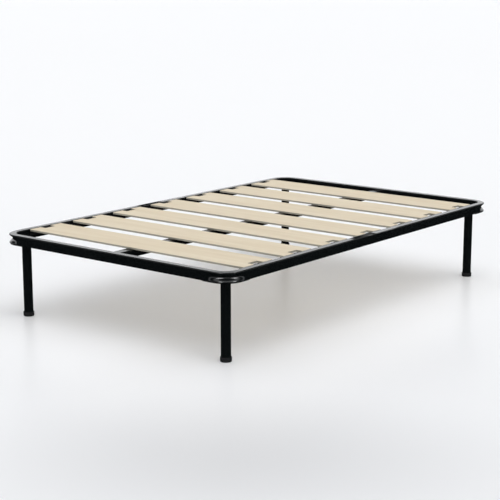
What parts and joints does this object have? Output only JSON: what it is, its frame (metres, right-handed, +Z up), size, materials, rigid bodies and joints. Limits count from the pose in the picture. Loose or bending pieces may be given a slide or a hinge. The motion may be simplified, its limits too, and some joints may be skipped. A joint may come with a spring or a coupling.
{
  "type": "bed frame",
  "caption": "Low slatted bed frame: rounded ring of black steel tube on short round legs, centre rail, and wide notched plywood slats.",
  "frame": {"origin": "on the floor, under the middle of the bed", "axes": "+X across the bed, +Y along the bed towards the head, +Z up"},
  "size_m": [1.2, 1.9, 0.35],
  "materials": {
    "black_coated_steel": "semi-gloss black powder coat",
    "plywood": "sanded pale plywood",
    "black_plastic": "moulded matt black",
    "bare_steel": "plain mill steel",
    "zinc_steel": "bright zinc plate"
  },
  "bodies": {
    "root": {"foot_tube": "black_coated_steel", "head_tube": "black_coated_steel", "centre_rail": "black_coated_steel", "centre_rail_welds": "black_coated_steel", "joint_sleeve_left": "bare_steel", "joint_sleeve_right": "bare_steel", "slat_1": "plywood", "slat_2": "plywood", "slat_3": "plywood", "slat_4": "plywood", "slat_5": "plywood", "slat_6": "plywood", "slat_7": "plywood", "slat_holder_left_1": "black_plastic", "slat_holder_left_2": "black_plastic", "slat_holder_left_3": "black_plastic", "slat_holder_left_4": "black_plastic", "slat_holder_left_5": "black_plastic", "slat_holder_left_6": "black_plastic", "slat_holder_left_7": "black_plastic", "slat_holder_right_1": "black_plastic", "slat_holder_right_2": "black_plastic", "slat_holder_right_3": "black_plastic", "slat_holder_right_4": "black_plastic", "slat_holder_right_5": "black_plastic", "slat_holder_right_6": "black_plastic", "slat_holder_right_7": "black_plastic", "corner_plate_foot_left": "black_coated_steel", "corner_weld_foot_left": "black_coated_steel", "leg_tube_foot_left": "black_coated_steel", "leg_disc_foot_left": "bare_steel", "weld_nut_foot_left": "bare_steel", "leg_bolt_foot_left": "zinc_steel", "foot_cap_foot_left": "black_plastic", "corner_plate_foot_right": "black_coated_steel", "corner_weld_foot_right": "black_coated_steel", "leg_tube_foot_right": "black_coated_steel", "leg_disc_foot_right": "bare_steel", "weld_nut_foot_right": "bare_steel", "leg_bolt_foot_right": "zinc_steel", "foot_cap_foot_right": "black_plastic", "corner_plate_head_left": "black_coated_steel", "corner_weld_head_left": "black_coated_steel", "leg_tube_head_left": "black_coated_steel", "leg_disc_head_left": "bare_steel", "weld_nut_head_left": "bare_steel", "leg_bolt_head_left": "zinc_steel", "foot_cap_head_left": "black_plastic", "corner_plate_head_right": "black_coated_steel", "corner_weld_head_right": "black_coated_steel", "leg_tube_head_right": "black_coated_steel", "leg_disc_head_right": "bare_steel", "weld_nut_head_right": "bare_steel", "leg_bolt_head_right": "zinc_steel", "foot_cap_head_right": "black_plastic"}
  },
  "joints": []
}
